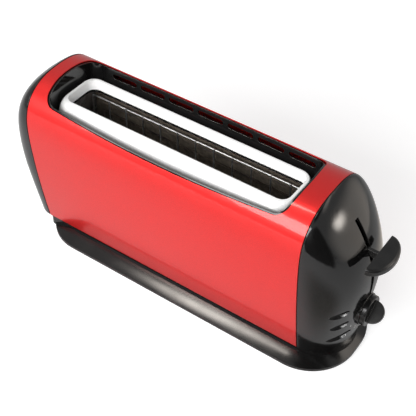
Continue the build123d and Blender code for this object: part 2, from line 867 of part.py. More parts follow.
def crumb_tray():
    """Shallow pan on the base's floor, with a grip at the plain end."""
    low = floor_top + tray_gap
    high = low + tray_depth
    left = base_left + tray_end_inset
    pan_left = left + tray_grip_length
    pan = block(pan_left, tray_right, -tray_half_width, tray_half_width, low, high)
    pan = pan - block(
        pan_left + tray_wall, tray_right - tray_wall,
        tray_wall - tray_half_width, tray_half_width - tray_wall, low + tray_wall, high + overcut,
    )
    grip = block(left, pan_left, -tray_half_width, tray_half_width, low, high)
    grip = fillet(grip.edges().filter_by(Axis.Y).group_by(Axis.X)[0], tray_grip_edge)
    scoop_x = left + tray_grip_scoop
    half = tray_half_width / 2
    return pan + grip - rod((scoop_x, -half, low), (scoop_x, half, low), tray_grip_scoop / 2)


parts = {
    "outer_shell": outer_shell(),
    "control_end_cap": control_end_cap(),
    "plain_end_cap": plain_end_cap(),
    "top_bezel": top_bezel(),
    "slot_collar": slot_collar(),
    "base_plate": base_plate(),
    "rubber_feet": rubber_feet(),
    "control_end_plate": control_end_plate(),
    "plain_end_plate": plain_end_plate(),
    "base_screws": base_screws(),
    "carriage_guide_rod": carriage_guide_rod(),
    "carriage_slider": carriage_slider(),
    "lift_rack": lift_rack(),
    "lever_arm": lever_arm(),
    "lever_paddle": lever_paddle(),
    "armature_plate": armature_plate(),
    "electromagnet": electromagnet(),
    "return_spring": return_spring(),
    "browning_knob": browning_knob(),
    "dial_shaft": dial_shaft(),
    "potentiometer": potentiometer(),
    "control_board": control_board(),
    "button_switches": button_switches(),
    "crumb_tray": crumb_tray(),
    "cord_gland": cord_gland(),
    "terminal_block": terminal_block(),
}
for name, side in (("front", -1), ("rear", 1)):
    parts[name + "_reflector"] = reflector(side)
    parts[name + "_heater_card"] = heater_card(side)
    parts[name + "_heater_ribbon"] = heater_ribbon(side)
    parts[name + "_guide"] = guide_grille(side)
for name, place in button_places.items():
    parts[name] = push_button(place)

os.makedirs("parts", exist_ok=True)
for name, solid in parts.items():
    export_step(Pos(x_shift, 0, 0) * solid, f"parts/{name}.step")
print("parts", len(parts), "shift along X", round(x_shift, 3))
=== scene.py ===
# %% [markdown]
# # A long-slot toaster, dressed for its portrait
# The imported model is loaded first and stays where it is. Everything below adds finishes, small printed
# marks, a spring wound as wire, light and a camera. All lengths are metres, and all pieces
# share the model's own frame: X runs towards the control end, -Y is the front, and Z is up.

# %% Load the frame
import bpy
import math
import numpy as np
from mathutils import Matrix, Vector


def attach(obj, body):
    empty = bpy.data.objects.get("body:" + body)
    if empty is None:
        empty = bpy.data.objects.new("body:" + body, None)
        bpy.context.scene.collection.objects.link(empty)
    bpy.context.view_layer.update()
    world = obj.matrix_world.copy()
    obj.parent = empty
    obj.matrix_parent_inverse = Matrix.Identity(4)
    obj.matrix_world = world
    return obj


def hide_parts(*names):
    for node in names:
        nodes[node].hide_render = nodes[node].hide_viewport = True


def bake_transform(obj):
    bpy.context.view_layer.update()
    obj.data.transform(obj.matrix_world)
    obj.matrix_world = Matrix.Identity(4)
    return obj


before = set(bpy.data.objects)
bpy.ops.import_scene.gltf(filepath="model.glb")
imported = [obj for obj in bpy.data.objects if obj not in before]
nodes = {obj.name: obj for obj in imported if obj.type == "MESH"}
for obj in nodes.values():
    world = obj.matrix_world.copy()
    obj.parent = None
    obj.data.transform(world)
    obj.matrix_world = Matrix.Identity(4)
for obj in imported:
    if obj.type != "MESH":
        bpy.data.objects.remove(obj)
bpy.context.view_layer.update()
scene = bpy.context.scene
mm = 0.001

# %% [markdown]
# The camera stands high in front of the control end, as in the portrait. A long lens keeps the far end
# nearly as large as the near one, so the lens matters as much as the place. Both were found by matching
# the edges of the shell, the slot and the base, and are written here as plain sizes and angles.

# %% Camera
camera_place = (377.75 * mm, -525.5 * mm, 706.5 * mm)
camera_azimuth = math.radians(35.01)
camera_elevation = math.radians(43.91)
camera_roll = math.radians(0.2)

lens = bpy.data.cameras.new("portrait_lens")
lens.lens = 81.96
lens.sensor_width = 36.0
lens.sensor_fit = "HORIZONTAL"
lens.clip_start = 0.01
camera = bpy.data.objects.new("portrait_camera", lens)
pan = Matrix.Rotation(camera_azimuth, 4, "Z")
tilt = Matrix.Rotation(math.pi / 2 - camera_elevation, 4, "X")
roll = Matrix.Rotation(camera_roll, 4, "Z")
camera.matrix_world = Matrix.Translation(camera_place) @ pan @ tilt @ roll
scene.collection.objects.link(camera)
scene.camera = camera
print("camera at", [round(v, 4) for v in camera.location])

# %% [markdown]
# Every finish below is a small net of shader nodes. They all begin the same way: a Principled shader,
# and a noise that reads Object coordinates, so the pattern is fixed to the part in real metres and stays
# put when the part moves. A stretch along one axis turns the noise into brush lines or fibres.


# %% A finish and its grain
def new_finish(name):
    """A material with a Principled shader, returned with its node tree and shader."""
    material = bpy.data.materials.new(name)
    material.use_nodes = True
    tree = material.node_tree
    return material, tree, tree.nodes["Principled BSDF"]


def grain(tree, scale, detail=4.0, stretch=(1.0, 1.0, 1.0)):
    """Noise from Object coordinates; scale is in cycles per metre, stretch squeezes it along the axes."""
    place = tree.nodes.new("ShaderNodeTexCoord")
    squeeze = tree.nodes.new("ShaderNodeMapping")
    squeeze.inputs["Scale"].default_value = stretch
    noise = tree.nodes.new("ShaderNodeTexNoise")
    noise.inputs["Scale"].default_value = scale
    noise.inputs["Detail"].default_value = detail
    tree.links.new(place.outputs["Object"], squeeze.inputs["Vector"])
    tree.links.new(squeeze.outputs["Vector"], noise.inputs["Vector"])
    return noise.outputs["Fac"]


print("helpers for a finish and its grain ready")

# %% [markdown]
# No real surface has one colour and one shine all over. A noise stays near its middle value, so only the
# part of it between about 0.3 and 0.7 is used, and it is mapped to two colours or to two numbers. In the
# simplest finishes one noise drives both the colour and the roughness.


# %% Colour and roughness
def blend_colour(tree, factor, low, high, start=0.3, end=0.7):
    """Colour that runs from low to high as the factor goes from start to end."""
    ramp = tree.nodes.new("ShaderNodeValToRGB")
    ramp.color_ramp.elements[0].position = start
    ramp.color_ramp.elements[0].color = (*low, 1.0)
    ramp.color_ramp.elements[1].position = end
    ramp.color_ramp.elements[1].color = (*high, 1.0)
    tree.links.new(factor, ramp.inputs["Fac"])
    return ramp.outputs["Color"]


def spread(tree, factor, low, high, start=0.3, end=0.7):
    """Number that runs from low to high as the factor goes from start to end."""
    limits = tree.nodes.new("ShaderNodeMapRange")
    limits.inputs["From Min"].default_value = start
    limits.inputs["From Max"].default_value = end
    limits.inputs["To Min"].default_value = low
    limits.inputs["To Max"].default_value = high
    tree.links.new(factor, limits.inputs["Value"])
    return limits.outputs["Result"]


def set_look(tree, shader, colour, roughness):
    """Link a colour and a roughness to the shader."""
    tree.links.new(colour, shader.inputs["Base Color"])
    tree.links.new(roughness, shader.inputs["Roughness"])


def mottled_finish(name, colours, roughness, ramp=(0.3, 0.7), **noise):
    """Finish in which one noise drives colour and roughness, returned with its tree, shader and noise."""
    material, tree, shader = new_finish(name)
    mottle = grain(tree, **noise)
    colour = blend_colour(tree, mottle, *colours, *ramp)
    set_look(tree, shader, colour, spread(tree, mottle, *roughness))
    return material, tree, shader, mottle


print("helpers for colour and roughness ready")

# %% [markdown]
# Moulded and pressed edges are never quite sharp, and they are rubbed first. A Bevel node gives a normal
# that rounds them, so that they catch the light, and where that normal leaves the surface's own, an edge
# must be near: this makes a factor by which the colour wears. It costs no geometry at all, and the fine
# relief of a grain or a brush mark is laid over the same normal.


# %% Edges and relief
def arithmetic(tree, kind, first, second):
    """One Math node; each input is a socket or a plain number."""
    node = tree.nodes.new("ShaderNodeMath")
    node.operation = kind
    for socket, value in zip(node.inputs, (first, second)):
        if isinstance(value, (int, float)):
            socket.default_value = value
        else:
            tree.links.new(value, socket)
    return node.outputs[0]


bevel_samples = 6
edge_begins = 0.995
edge_full = 0.85


def rounded(tree, radius):
    """Normal that rounds sharp edges by a radius in metres, and a factor that rises to 1 along them.

    The factor is the product of the rounded and the plain normal, mapped from where an edge begins to
    where it is full.
    """
    bevel = tree.nodes.new("ShaderNodeBevel")
    bevel.samples = bevel_samples
    bevel.inputs["Radius"].default_value = radius
    surface = tree.nodes.new("ShaderNodeNewGeometry")
    agree = tree.nodes.new("ShaderNodeVectorMath")
    agree.operation = "DOT_PRODUCT"
    tree.links.new(bevel.outputs["Normal"], agree.inputs[0])
    tree.links.new(surface.outputs["Normal"], agree.inputs[1])
    edge = spread(tree, agree.outputs["Value"], 0.0, 1.0, edge_begins, edge_full)
    return bevel.outputs["Normal"], edge


def worn(tree, colour, edge, patchy, tone):
    """Colour that gives way to the tone of rubbed material where the edge and a patchy noise meet."""
    mix = tree.nodes.new("ShaderNodeMix")
    mix.data_type = "RGBA"
    mix.inputs["B"].default_value = (*tone, 1.0)
    tree.links.new(arithmetic(tree, "MULTIPLY", edge, patchy), mix.inputs["Factor"])
    tree.links.new(colour, mix.inputs["A"])
    return mix.outputs["Result"]


def roughen(tree, shader, factor, height, strength=1.0, normal=None):
    """Relief from a factor; height is its depth in metres, laid over a normal if one is given."""
    relief = tree.nodes.new("ShaderNodeBump")
    relief.inputs["Strength"].default_value = strength
    relief.inputs["Distance"].default_value = height
    if normal is not None:
        tree.links.new(normal, relief.inputs["Normal"])
    tree.links.new(factor, relief.inputs["Height"])
    tree.links.new(relief.outputs["Normal"], shader.inputs["Normal"])


print("helpers for edges and relief ready")

# %% [markdown]
# The shell is sheet metal sprayed with a red lacquer that holds fine metal flakes, under a clear coat.
# The flakes make the red turn pale where light glances off and deep where it doesn't. A half-metallic
# base gives that turn, a very fine noise gives the flakes their glitter, and the shader's own clear coat
# lays the sharper shine on top.

# %% Red flake lacquer
deep_red = (0.55, 0.008, 0.008)
bright_red = (0.76, 0.023, 0.021)
rubbed_red = (0.42, 0.02, 0.02)
finishes = {}

lacquer, tree, shader = new_finish("red_flake_lacquer")
flakes = grain(tree, scale=2600.0, detail=2.0)
cloud = grain(tree, scale=9.0, detail=3.0)
soft_edge, edge = rounded(tree, 0.5 * mm)
red = worn(tree, blend_colour(tree, flakes, deep_red, bright_red), edge, cloud, rubbed_red)
set_look(tree, shader, red, spread(tree, cloud, 0.28, 0.36))
shader.inputs["Metallic"].default_value = 0.6
shader.inputs["Specular IOR Level"].default_value = 0.25
shader.inputs["Coat Weight"].default_value = 0.55
shader.inputs["Coat Roughness"].default_value = 0.08
roughen(tree, shader, flakes, height=0.01 * mm, strength=0.25, normal=soft_edge)
finishes["red_lacquer"] = lacquer
print("made", lacquer.name)

# %% [markdown]
# The end caps, the base and the trough are moulded in black plastic and polished. Polished black is
# nearly all reflection, so its own colour matters little, and small faults in the polish matter much: a
# faint wave in the surface and a thin haze that changes from place to place.

# %% Polished black plastic
deep_black = (0.0025, 0.0025, 0.0027)
dusty_black = (0.007, 0.0067, 0.0065)
rubbed_polish = (0.07, 0.066, 0.06)


def polish_noises(tree):
    """The two noises of polished black: a broad haze and the fine dust."""
    return grain(tree, scale=35.0, detail=5.0), grain(tree, scale=1800.0, detail=2.0)


gloss, tree, shader = new_finish("polished_black")
haze, dust = polish_noises(tree)
soft_edge, edge = rounded(tree, 0.5 * mm)
black = worn(tree, blend_colour(tree, dust, deep_black, dusty_black), edge, haze, rubbed_polish)
set_look(tree, shader, black, spread(tree, haze, 0.07, 0.14))
shader.inputs["IOR"].default_value = 1.5
roughen(tree, shader, haze, height=0.12 * mm, strength=0.35, normal=soft_edge)
finishes["black_gloss"] = gloss
print("made", gloss.name)

# %% [markdown]
# The finger plate, its arm, the knob and the tray are handled, so their plastic has a satin skin with a
# fine moulded grain. The grain is a small relief. Where fingers rub, the roughness drops a little, and
# along the edges the black turns grey.

# %% Satin black plastic
satin_dark = (0.004, 0.004, 0.0042)
satin_light = (0.011, 0.0105, 0.010)
rubbed_satin = (0.10, 0.095, 0.088)

satin, tree, shader = new_finish("satin_black")
skin = grain(tree, scale=2200.0, detail=3.0)
wear = grain(tree, scale=60.0, detail=4.0)
soft_edge, edge = rounded(tree, 0.6 * mm)
black = worn(tree, blend_colour(tree, wear, satin_dark, satin_light), edge, wear, rubbed_satin)
set_look(tree, shader, black, spread(tree, wear, 0.16, 0.26))
shader.inputs["Specular IOR Level"].default_value = 0.4
roughen(tree, shader, skin, height=0.03 * mm, strength=0.5, normal=soft_edge)
finishes["black_satin"] = satin
print("made", satin.name)

# %% [markdown]
# The collar round the slot is pressed from thin steel and brushed along its length. Brushing leaves
# long scratches that run with X, so the noise is squeezed hard across them and let run along them. It
# drives both the colour and the roughness, which is what makes brushed metal look soft.

# %% Brushed bright steel
steel_colours = ((0.93, 0.93, 0.92), (0.98, 0.98, 0.975))
along_collar = (0.02, 1.0, 1.0)

steel, tree, shader, brush = mottled_finish(
    "brushed_bright_steel", steel_colours, (0.30, 0.40), scale=900.0, detail=3.0, stretch=along_collar
)
shader.inputs["Metallic"].default_value = 0.1
soft_edge = rounded(tree, 0.4 * mm)[0]
roughen(tree, shader, brush, height=0.006 * mm, strength=0.25, normal=soft_edge)
finishes["bright_steel"] = steel
print("made", steel.name)

# %% [markdown]
# Inner plates, wires, rack and screws are zinc plated. Zinc grows in patches of slightly different grey,
# which a pattern of uneven cells imitates well, and it dulls unevenly.

# %% Zinc plate
dark_zinc = (0.42, 0.43, 0.44)
pale_zinc = (0.66, 0.67, 0.68)

zinc, tree, shader = new_finish("zinc_plate")
place = tree.nodes.new("ShaderNodeTexCoord")
spangle = tree.nodes.new("ShaderNodeTexVoronoi")
spangle.inputs["Scale"].default_value = 240.0
tree.links.new(place.outputs["Object"], spangle.inputs["Vector"])
patch = tree.nodes.new("ShaderNodeSeparateColor")
tree.links.new(spangle.outputs["Color"], patch.inputs["Color"])
grey = blend_colour(tree, patch.outputs["Red"], dark_zinc, pale_zinc, start=0.0, end=1.0)
set_look(tree, shader, grey, spread(tree, grain(tree, scale=120.0), 0.28, 0.45))
shader.inputs["Metallic"].default_value = 0.95
finishes["zinc_steel"] = zinc
print("made", zinc.name)

# %% [markdown]
# Behind the guide grilles lie the heaters: cards of pressed mica with a flat ribbon on them. Mica is
# made of flakes, so it is mottled, with a relief of the same pattern. The ribbon has been hot often and
# has a brown and blue oxide skin.

# %% Mica and ribbon
mica_colours = ((0.08, 0.066, 0.05), (0.19, 0.16, 0.125))
oxide_colours = ((0.20, 0.17, 0.19), (0.42, 0.35, 0.28))

mica, tree, shader, flake = mottled_finish(
    "pressed_mica", mica_colours, (0.45, 0.7), scale=260.0, detail=6.0
)
roughen(tree, shader, flake, height=0.1 * mm, strength=0.5)
finishes["mica"] = mica

ribbon, tree, shader = mottled_finish(
    "oxidised_ribbon", oxide_colours, (0.35, 0.55), scale=45.0, detail=3.0
)[:3]
shader.inputs["Metallic"].default_value = 0.85
finishes["heater_alloy"] = ribbon
print("made", mica.name, ribbon.name)

# %% [markdown]
# The next finishes are for pieces seen only through the slot or from below: natural nylon, a dark moulded
# resin with mineral specks, a brown paper laminate, and the rubber of the feet and gland. Each still gets
# the one detail by which it is known: clouds, specks, fibres and a fine bloom.

# %% Small plastics and rubber
nylon_colours = ((0.70, 0.69, 0.64), (0.84, 0.83, 0.79))
resin_colours = ((0.09, 0.09, 0.10), (0.24, 0.24, 0.25))
paper_colours = ((0.32, 0.22, 0.09), (0.50, 0.38, 0.19))
rubber_colours = ((0.016, 0.016, 0.016), (0.045, 0.044, 0.042))
along_fibres = (1.0, 0.15, 1.0)

finishes["white_nylon"] = mottled_finish(
    "natural_nylon", nylon_colours, (0.38, 0.5), scale=90.0, detail=4.0
)[0]
finishes["grey_phenolic"] = mottled_finish(
    "specked_resin", resin_colours, (0.4, 0.55), ramp=(0.45, 0.7), scale=1500.0, detail=2.0
)[0]
finishes["board_laminate"] = mottled_finish(
    "paper_laminate", paper_colours, (0.4, 0.6), scale=500.0, detail=5.0, stretch=along_fibres
)[0]
rubber, tree, shader, bloom = mottled_finish(
    "matt_rubber", rubber_colours, (0.6, 0.85), scale=700.0, detail=5.0
)
roughen(tree, shader, bloom, height=0.08 * mm, strength=0.5)
finishes["black_rubber"] = rubber
print("finishes so far:", len(finishes))

# %% [markdown]
# The magnet that holds the carriage down is wound with enamelled wire. Bands of a Wave texture lie round
# it like the turns of the winding. They give both the change from bright to dark and the relief.

# %% Winding of the magnet
copper_dark = (0.30, 0.11, 0.04)
copper_bright = (0.72, 0.36, 0.17)

winding, tree, shader = new_finish("enamelled_winding")
place = tree.nodes.new("ShaderNodeTexCoord")
turns = tree.nodes.new("ShaderNodeTexWave")
turns.bands_direction = "Z"
turns.inputs["Scale"].default_value = 320.0
turns.inputs["Distortion"].default_value = 0.4
tree.links.new(place.outputs["Object"], turns.inputs["Vector"])
copper = blend_colour(tree, turns.outputs["Fac"], copper_dark, copper_bright, start=0.1, end=0.9)
set_look(tree, shader, copper, spread(tree, grain(tree, scale=200.0), 0.25, 0.4))
shader.inputs["Metallic"].default_value = 0.7
roughen(tree, shader, turns.outputs["Fac"], height=0.2 * mm, strength=0.6)
finishes["magnet_coil"] = winding
print("finishes:", sorted(finishes))

# %% [markdown]
# The solids already have the right shapes, so they stay, and only the plain stand-in in each of their
# material slots is exchanged. The stand-ins are named after the slots of the record, which is how each
# node finds its finish.

# %% Give every solid its finish
dressed = 0
for node in nodes.values():
    for holder in node.material_slots:
        holder.material = finishes[holder.material.name]
        dressed += 1
print("slots dressed:", dressed)

# %% [markdown]
# The base has the same polish, but its flange is pressed with a faint crown, so that it catches a lamp as
# a line and not as a flat glare. A crown this low is easier to shade than to model: a parabola across the
# flange, in metres, goes straight into the relief.


# %% Crowned flange of the base
def split_place(tree):
    """The three Object coordinates as separate numbers."""
    place = tree.nodes.new("ShaderNodeTexCoord")
    parts = tree.nodes.new("ShaderNodeSeparateXYZ")
    tree.links.new(place.outputs["Object"], parts.inputs["Vector"])
    return parts.outputs


flange_middle = 46.5 * mm
crown_reach = 8.5 * mm
crown_bend = 7.0

crowned, tree, shader = new_finish("crowned_black")
haze, dust = polish_noises(tree)
set_look(tree, shader, blend_colour(tree, dust, deep_black, dusty_black), spread(tree, haze, 0.12, 0.20))
side_way = arithmetic(tree, "ABSOLUTE", split_place(tree)["Y"], 0.0)
off_middle = arithmetic(tree, "SUBTRACT", side_way, flange_middle)
off_middle = arithmetic(tree, "MAXIMUM", off_middle, -crown_reach)
parabola = arithmetic(tree, "MULTIPLY", off_middle, off_middle)
roughen(tree, shader, arithmetic(tree, "MULTIPLY", parabola, -crown_bend), height=1.0)
for holder in nodes["base_plate"].material_slots:
    holder.material = crowned
print("made", crowned.name)

# %% [markdown]
# Printed marks lie on curved faces. Instead of guessing the curve, the face is read from the solid: all
# vertices that look towards the control end, near the mark, are fitted with a smooth polynomial
# X = f(Y, Z) by least squares. A mark is then drawn flat in Y and Z, and lifted onto the face.


# %% Read a curved face
def face_points(node):
    """World places and normals of a node's vertices, as two arrays."""
    mesh = node.data
    places = np.empty(len(mesh.vertices) * 3)
    normals = np.empty(len(mesh.vertices) * 3)
    mesh.vertices.foreach_get("co", places)
    mesh.vertices.foreach_get("normal", normals)
    turn = np.array(node.matrix_world)
    places = places.reshape(-1, 3) @ turn[:3, :3].T + turn[:3, 3]
    return places, normals.reshape(-1, 3) @ turn[:3, :3].T


def terms(y, z, degree):
    """All products of powers of Y and Z up to a degree, as columns."""
    powers = [(i, j) for i in range(degree + 1) for j in range(degree + 1 - i)]
    return np.stack([y**i * z**j for i, j in powers], axis=-1)


outward = 0.35
face_depth = 16 * mm
fit_rounds = 4
stray_share = 2.5
least_stray = 0.02 * mm


def fit_face(node, centre, near, far, degree):
    """Least-squares polynomial X = f(Y, Z) through outward vertices between two distances of a centre.

    After each round, points that miss the fit by much more than the middle one are left out.
    """
    places, normals = face_points(node)
    y = (places[:, 1] - centre[0]) / far
    z = (places[:, 2] - centre[1]) / far
    distance = np.hypot(y, z) * far
    front = (normals[:, 0] > outward) & (distance < far) & (distance > near)
    front &= places[:, 0] > places[front, 0].max() - face_depth
    keep = front
    for _ in range(fit_rounds):
        weights = np.linalg.lstsq(terms(y[keep], z[keep], degree), places[keep, 0], rcond=None)[0]
        miss = np.abs(terms(y, z, degree) @ weights - places[:, 0])
        keep = front & (miss < max(stray_share * np.median(miss[keep]), least_stray))
    typical = round(float(np.median(miss[keep])) / mm, 4)
    print(node.name, "face points", int(keep.sum()), "typical miss mm", typical)
    return lambda at_y, at_z: terms((at_y - centre[0]) / far, (at_z - centre[1]) / far, degree) @ weights


key_reach = 12 * mm
key_face = {}
for key in ("defrost_button", "reheat_button", "stop_button"):
    places = face_points(nodes[key])[0]
    middle = (places.min(axis=0) + places.max(axis=0)) / 2
    face = fit_face(nodes[key], (middle[1], middle[2]), near=0.0, far=key_reach, degree=2)
    key_face[key] = (middle, face)

# %% [markdown]
# Each key is hollowed on its front half for a fingertip. The hollow is too shallow in the solid to shade
# itself,
# so its shade is painted: the front half is made dull, with almost no reflection, and stays dark, while the
# flat rear half is polished like the cap. The finish changes over along the key's slant.

# %% Keys with a painted shade in the hollow
key_slant = math.radians(24.0)
key_colours = ((0.006, 0.006, 0.0065), (0.015, 0.0145, 0.014))
hollow_end = -1.2 * mm
polish_start = 0.6 * mm
hollow_roughness = 0.5
polish_gain = 0.36
polish_shine = 0.5


def key_finish_with_painted_shade(name, middle):
    """Polished black that turns dull and unreflective on the front side of the key's middle, measured along
    its slant: painted shade for the hollow.
    """
    material, tree, shader = new_finish(name)
    parts = split_place(tree)
    from_y = arithmetic(tree, "SUBTRACT", parts["Y"], float(middle[1]))
    from_z = arithmetic(tree, "SUBTRACT", parts["Z"], float(middle[2]))
    y_way = arithmetic(tree, "MULTIPLY", from_y, math.cos(key_slant))
    z_way = arithmetic(tree, "MULTIPLY", from_z, math.sin(key_slant))
    share = tree.nodes.new("ShaderNodeMapRange")
    share.interpolation_type = "SMOOTHSTEP"
    share.inputs["From Min"].default_value = hollow_end
    share.inputs["From Max"].default_value = polish_start
    tree.links.new(arithmetic(tree, "ADD", y_way, z_way), share.inputs["Value"])
    polish = share.outputs["Result"]
    speck = grain(tree, scale=1800.0, detail=2.0)
    gain = arithmetic(tree, "MULTIPLY", polish, polish_gain)
    roughness = arithmetic(tree, "SUBTRACT", hollow_roughness, gain)
    set_look(tree, shader, blend_colour(tree, speck, *key_colours), roughness)
    # In the hollow the shine falls to nothing: this is the painted shade of the hollow.
    shine = arithmetic(tree, "MULTIPLY", polish, polish_shine)
    tree.links.new(shine, shader.inputs["Specular IOR Level"])
    roughen(tree, shader, speck, height=0.02 * mm, strength=0.4)
    return material


for key, (middle, _) in key_face.items():
    for holder in nodes[key].material_slots:
        holder.material = key_finish_with_painted_shade(key + "_finish", middle)
print("keys dressed:", sorted(key_face))

# %% [markdown]
# Signs are printed in thin lines. A sign is a handful of strokes, and a stroke is a ribbon: a path with a
# width, given by one parameter along it and one across it. Ribbons are drawn flat, because a flat drawing
# is easy to think of, and are laid on their face later.


# %% Strokes
def stroke(path, width):
    """Ribbon along a path in the plane: each path point plus or minus half the width along its normal."""
    path = np.asarray(path, dtype=float)
    along = np.gradient(path, axis=0)
    along /= np.linalg.norm(along, axis=1, keepdims=True)
    across = np.stack([-along[:, 1], along[:, 0]], axis=1)
    sides = np.array([-0.5, 0.5]) * width
    return path[:, None, :] + across[:, None, :] * sides[None, :, None]


def line(start, end, count=6):
    """Straight path between two points."""
    share = np.linspace(0.0, 1.0, count)[:, None]
    return np.asarray(start) * (1 - share) + np.asarray(end) * share


print("grid of a straight stroke:", stroke(line((0.0, 0.0), (mm, 0.0)), mm).shape[:2])

# %% [markdown]
# A mark becomes a mesh when the face has given each of its points an X. A print has no thickness to speak
# of, so it is one layer of faces that look outwards, lifted a little so that it doesn't flicker in the
# surface below it. Each mark is told which body it rides with.


# %% Marks as meshes
def flat_mesh(name, points, faces):
    """Mesh of a mark, with the corners of each face in the order that makes it look towards +X."""
    corner = points[faces]
    facing = np.cross(corner[:, 1] - corner[:, 0], corner[:, 2] - corner[:, 0])[:, 0]
    faces[facing < 0] = faces[facing < 0][:, ::-1]
    mesh = bpy.data.meshes.new(name)
    mesh.from_pydata(points.tolist(), [], faces.tolist())
    return mesh


def strips_to_mesh(name, strips, face, lift):
    """Mesh from ribbons in Y and Z, with X taken from the face plus a small lift."""
    points = []
    quads = []
    first = 0
    for strip in strips:
        count = len(strip)
        flat = strip.reshape(-1, 2)
        points.append(np.column_stack([face(flat[:, 0], flat[:, 1]) + lift, flat]))
        row = first + 2 * np.arange(count - 1)
        quads.append(np.stack([row, row + 1, row + 3, row + 2], axis=1))
        first += 2 * count
    return flat_mesh(name, np.concatenate(points), np.concatenate(quads))


def add_piece(name, mesh, body, finish):
    """Link a finished mesh at the origin and let it ride with a body."""
    mesh.materials.append(finish)
    piece = bpy.data.objects.new(name, mesh)
    scene.collection.objects.link(piece)
    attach(piece, body)


ink_colours = ((0.72, 0.72, 0.71), (0.92, 0.92, 0.91))
ink = mottled_finish("white_print", ink_colours, (0.4, 0.55), scale=2400.0, detail=3.0)[0]
print("made", ink.name)

# %% [markdown]
# Each key carries one small sign on its rear half. The signs are plain ones that need no words: a star of
# frost for thawing, two waves for warming up again, and a square for stopping. They are turned by the
# keys' slant and ride with the keys.

# %% Signs on the keys
sign_lift = 0.08 * mm
sign_place = 2.2 * mm
sign_line = 0.5 * mm
turn_cos = math.cos(key_slant)
turn_sin = math.sin(key_slant)
sign_turn = np.array([[turn_cos, -turn_sin], [turn_sin, turn_cos]])


def place_sign(strips, middle):
    """Turn ribbons by the keys' slant and set them behind a key's middle."""
    centre = np.array([middle[1], middle[2]]) + sign_turn @ np.array([sign_place, 0.0])
    return [strip @ sign_turn.T + centre for strip in strips]


frost_arm = 1.9 * mm
frost_angles = (0.0, math.pi / 3, 2 * math.pi / 3)
frost_tips = [frost_arm * np.array([math.cos(angle), math.sin(angle)]) for angle in frost_angles]
frost = [stroke(line(-tip, tip), sign_line) for tip in frost_tips]

wave_half = 2.2 * mm
wave_height = 0.45 * mm
wave_swing = 5.0
wave_levels = (-0.75 * mm, 0.75 * mm)
sweep = np.linspace(-1.0, 1.0, 25)
ripple = wave_height * np.sin(sweep * wave_swing)
waves = [stroke(np.stack([sweep * wave_half, ripple + level], axis=1), sign_line) for level in wave_levels]

half_side = 1.5 * mm
corners = half_side * np.array([(-1, -1), (1, -1), (1, 1), (-1, 1)])
square = [stroke(line(corners[i], corners[(i + 1) % 4]), sign_line) for i in range(4)]

for key, strips in (("defrost", frost), ("reheat", waves), ("stop", square)):
    middle, face = key_face[key + "_button"]
    mesh = strips_to_mesh(key + "_sign", place_sign(strips, middle), face, sign_lift)
    add_piece(key + "_sign", mesh, key + "_key", ink)
    print("sign on", key, "quads", len(mesh.polygons))

# %% [markdown]
# The dial is read against small figures printed round it on the cap. Blender's own plain letters give the
# outlines. Each figure is made a mesh while it is still flat, then its points are taken as arrays, set
# round the dial and laid on the fitted face of the cap.

# %% Figures round the dial
dial_middle = (0.0, 60.5 * mm)
pad_edge = 16.6 * mm
figure_reach = 27 * mm
figure_ring = 20.0 * mm
figure_height = 4.2 * mm
figure_lift = 0.12 * mm
figure_angles = np.radians(np.arange(208, 389, 30))
cap_front = fit_face(nodes["control_end_cap"], dial_middle, near=pad_edge, far=figure_reach, degree=4)


def figure_outline(letter):
    """Flat points and triangles of one figure, centred on its own middle."""
    curve = bpy.data.curves.new("figure", "FONT")
    curve.body = letter
    curve.size = figure_height
    holder = bpy.data.objects.new("figure", curve)
    scene.collection.objects.link(holder)
    bpy.context.view_layer.update()
    shape = holder.evaluated_get(bpy.context.evaluated_depsgraph_get()).to_mesh()
    shape.calc_loop_triangles()
    points = np.empty(len(shape.vertices) * 3)
    shape.vertices.foreach_get("co", points)
    triangles = np.empty(len(shape.loop_triangles) * 3, dtype=np.int32)
    shape.loop_triangles.foreach_get("vertices", triangles)
    points = points.reshape(-1, 3)[:, :2]
    bpy.data.objects.remove(holder)
    return points - (points.min(axis=0) + points.max(axis=0)) / 2, triangles.reshape(-1, 3)


figure_points = []
figure_faces = []
first = 0
for number, angle in zip("1234567", figure_angles):
    flat, triangles = figure_outline(number)
    y = flat[:, 0] + dial_middle[0] + figure_ring * math.cos(angle)
    z = flat[:, 1] + dial_middle[1] + figure_ring * math.sin(angle)
    figure_points.append(np.column_stack([cap_front(y, z) + figure_lift, y, z]))
    figure_faces.append(triangles + first)
    first += len(flat)
figures = flat_mesh("dial_figures", np.concatenate(figure_points), np.concatenate(figure_faces))
add_piece("dial_figures", figures, "housing", ink)
print("figures:", len(figures.polygons), "triangles")

# %% [markdown]
# Behind the cap a coil spring stands round the guide rod and lifts the carriage again. It gets shorter as
# the lever goes down, which a rigid solid can't do, and the slider would cut through it. Here the solid is
# hidden and the spring is wound again as a round wire along a helix: a circle carried along a path that turns
# and rises evenly.

# %% Wire along a helix
steps_per_turn = 36
wire_sides = 12


def coiled_wire(middle, low, high, coil_radius, wire_radius, turns):
    """Round wire along a helix, as rings of points.

    The middle line turns evenly at one radius while it rises evenly. Each ring is a circle spanned by the
    direction away from the axis and the direction square to that and to the wire.
    """
    share = np.linspace(0.0, 1.0, turns * steps_per_turn + 1)
    angle = 2 * np.pi * turns * share
    level = np.zeros_like(angle)
    away = np.stack([np.cos(angle), np.sin(angle), level], axis=1)
    climb = (high - low) / (2 * np.pi * turns)
    along = np.stack([-np.sin(angle), np.cos(angle), level + climb / coil_radius], axis=1)
    along /= np.linalg.norm(along, axis=1, keepdims=True)
    across = np.cross(along, away)
    axis = np.stack([level + middle[0], level + middle[1], low + (high - low) * share], axis=1)
    spine = coil_radius * away + axis
    ring = np.linspace(0.0, 2 * np.pi, wire_sides, endpoint=False)[None, :, None]
    circle = np.cos(ring) * away[:, None, :] + np.sin(ring) * across[:, None, :]
    return spine[:, None, :] + wire_radius * circle


